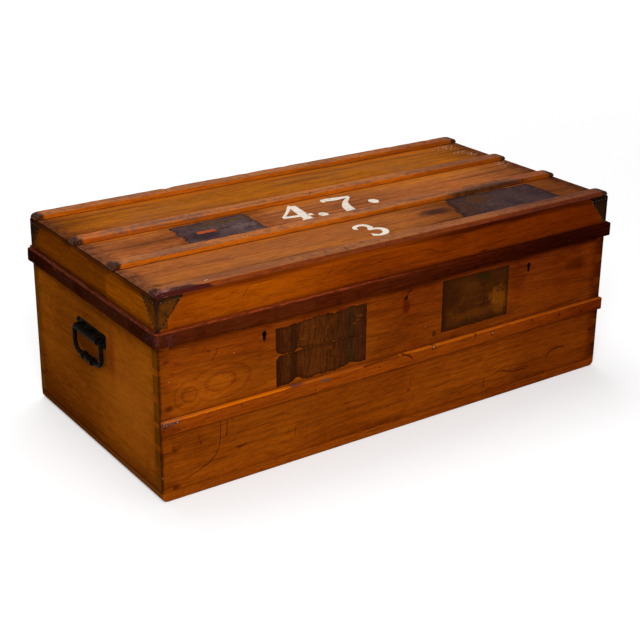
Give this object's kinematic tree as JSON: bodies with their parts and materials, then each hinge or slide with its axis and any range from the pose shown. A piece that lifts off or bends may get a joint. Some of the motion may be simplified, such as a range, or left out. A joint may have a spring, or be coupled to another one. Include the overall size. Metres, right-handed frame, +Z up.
{
  "type": "blanket chest",
  "caption": "Low dovetailed wooden travelling trunk with a battened, boxed lid on hinges, a bail handle on each end and two inset locks.",
  "frame": {"origin": "middle of the length and depth, on the plane that the bottom boards rest on", "axes": "+X along the front to the right as seen from the front, +Y to the back, +Z up"},
  "size_m": [1.0328, 0.505, 0.375],
  "materials": {
    "side_wood": "worn orange-brown varnish",
    "end_wood": "worn amber-brown varnish",
    "bottom_wood": "worn orange-brown varnish",
    "rail_wood": "worn orange-brown varnish",
    "lid_wood": "worn, dulled varnish",
    "batten_wood": "worn orange-brown varnish",
    "band_wood": "dark oxblood stain",
    "guard_sheet": "dark, aged lacquer",
    "black_iron": "black japanned iron",
    "hinge_iron": "aged iron",
    "dark_steel": "tarnished steel",
    "lock_steel": "aged steel"
  },
  "bodies": {
    "chest": {"front_lower_board": "side_wood", "front_upper_board": "side_wood", "back_lower_board": "side_wood", "back_upper_board": "side_wood", "front_batten": "side_wood", "left_end_board": "end_wood", "right_end_board": "end_wood", "bottom_front_board": "bottom_wood", "bottom_middle_board": "bottom_wood", "bottom_back_board": "bottom_wood", "handle_left_saddle": "black_iron", "handle_left_screws": "dark_steel", "hinge_left_lower_leaf": "hinge_iron", "hinge_left_pin": "dark_steel", "lock_left_case": "lock_steel", "handle_right_saddle": "black_iron", "handle_right_screws": "dark_steel", "hinge_right_lower_leaf": "hinge_iron", "hinge_right_pin": "dark_steel", "lock_right_case": "lock_steel", "hinge_lower_screws": "dark_steel", "lock_case_screws": "dark_steel"},
    "lid": {"lid_front_rail": "rail_wood", "lid_back_rail": "rail_wood", "lid_left_rail": "rail_wood", "lid_right_rail": "rail_wood", "lid_front_board": "lid_wood", "lid_middle_board": "lid_wood", "lid_rear_board": "lid_wood", "lid_batten_front": "batten_wood", "lid_batten_mid_front": "batten_wood", "lid_batten_mid_rear": "batten_wood", "lid_batten_rear": "batten_wood", "band_front": "band_wood", "band_back": "band_wood", "band_left": "band_wood", "band_right": "band_wood", "corner_guard_front_left": "guard_sheet", "corner_guard_front_right": "guard_sheet", "corner_guard_back_right": "guard_sheet", "corner_guard_back_left": "guard_sheet", "hinge_left_upper_leaf": "hinge_iron", "lock_left_link": "lock_steel", "hinge_right_upper_leaf": "hinge_iron", "lock_right_link": "lock_steel", "hinge_upper_screws": "dark_steel", "lock_link_screws": "dark_steel"},
    "left_bail": {"handle_left_bail": "black_iron"},
    "left_bolt": {"lock_left_bolt": "lock_steel"},
    "right_bail": {"handle_right_bail": "black_iron"},
    "right_bolt": {"lock_right_bolt": "lock_steel"}
  },
  "joints": [
    {"name": "lid_hinge", "type": "hinge", "parent": "chest", "child": "lid", "pos_m": [0, 0.2453, 0.28415], "axis": [-1, 0, 0], "range_deg": [0, 105]},
    {"name": "left_bail_swing", "type": "hinge", "parent": "chest", "child": "left_bail", "pos_m": [-0.509, 0, 0.223], "axis": [0, 1, 0], "range_deg": [0, 175]},
    {"name": "left_bolt_slide", "type": "slide", "parent": "chest", "child": "left_bolt", "axis": [1, 0, 0], "range_m": [0, 0.008]},
    {"name": "right_bail_swing", "type": "hinge", "parent": "chest", "child": "right_bail", "pos_m": [0.509, 0, 0.223], "axis": [0, -1, 0], "range_deg": [0, 175]},
    {"name": "right_bolt_slide", "type": "slide", "parent": "chest", "child": "right_bolt", "axis": [1, 0, 0], "range_m": [0, 0.008]}
  ]
}
